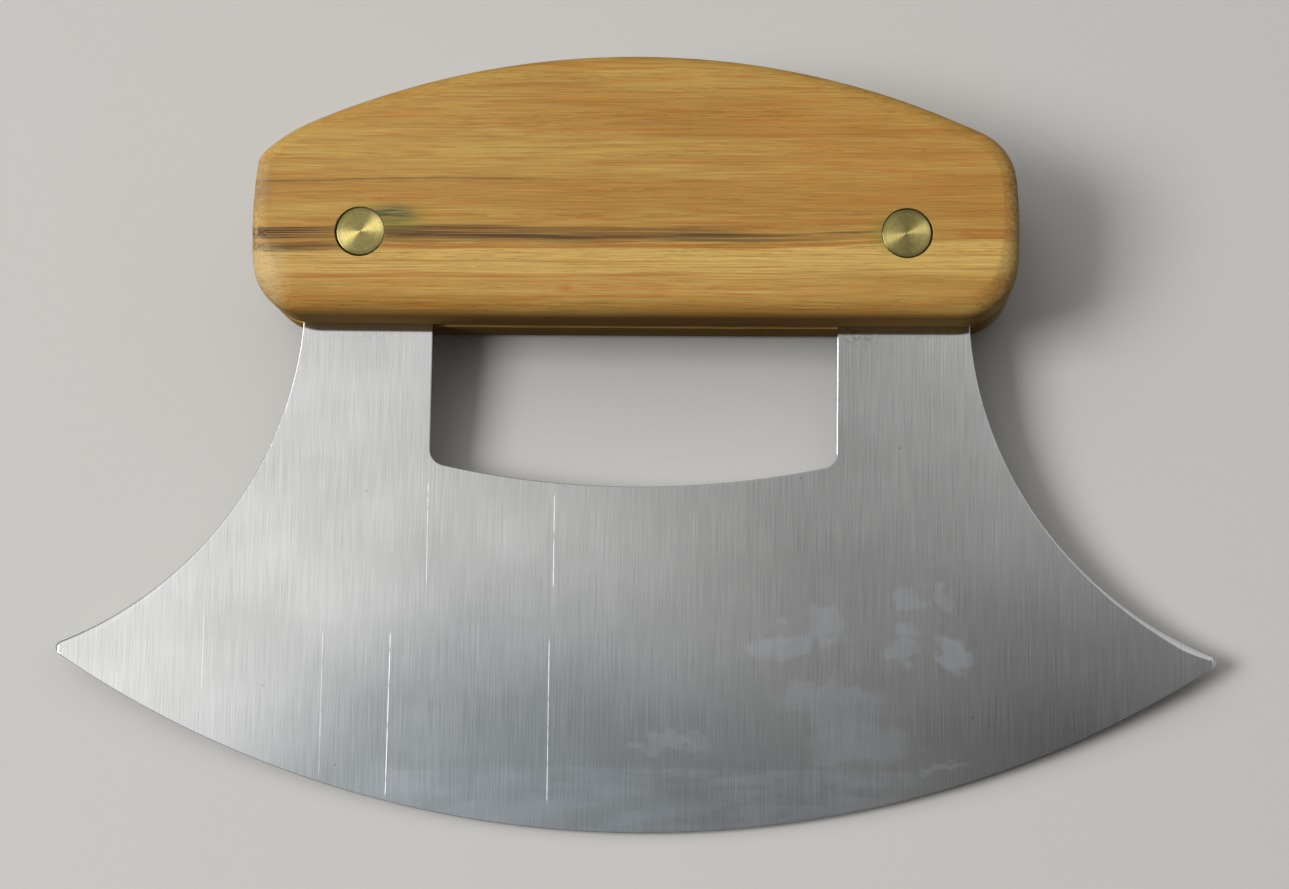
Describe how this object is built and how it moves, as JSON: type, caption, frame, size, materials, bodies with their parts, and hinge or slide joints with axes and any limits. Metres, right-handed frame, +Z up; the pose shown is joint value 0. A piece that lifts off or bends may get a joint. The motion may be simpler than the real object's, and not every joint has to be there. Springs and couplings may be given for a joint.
{
  "type": "ulu knife",
  "caption": "Crescent-bladed ulu knife with a finger window between two tangs, riveted into the kerf of a domed wooden handle.",
  "frame": {"origin": "middle of the knife's footprint, on the table it lies on", "axes": "+X along the handle, +Y from the cutting edge towards the handle, +Z up out of the table, with the blade's front face up and the knife tipped 7.65 degrees as it lies"},
  "size_m": [0.1524, 0.1018, 0.023],
  "materials": {
    "blade_steel": "stainless sheet, brushed from the handle to the edge",
    "handle_wood": "oiled hardwood with its grain along the handle, sanded, satin",
    "rivet_brass": "turned faces, lightly tarnished"
  },
  "bodies": {
    "root": {"blade": "blade_steel", "handle": "handle_wood", "rivet_left_socket": "rivet_brass", "rivet_left_pin": "rivet_brass", "rivet_right_socket": "rivet_brass", "rivet_right_pin": "rivet_brass"}
  },
  "joints": []
}
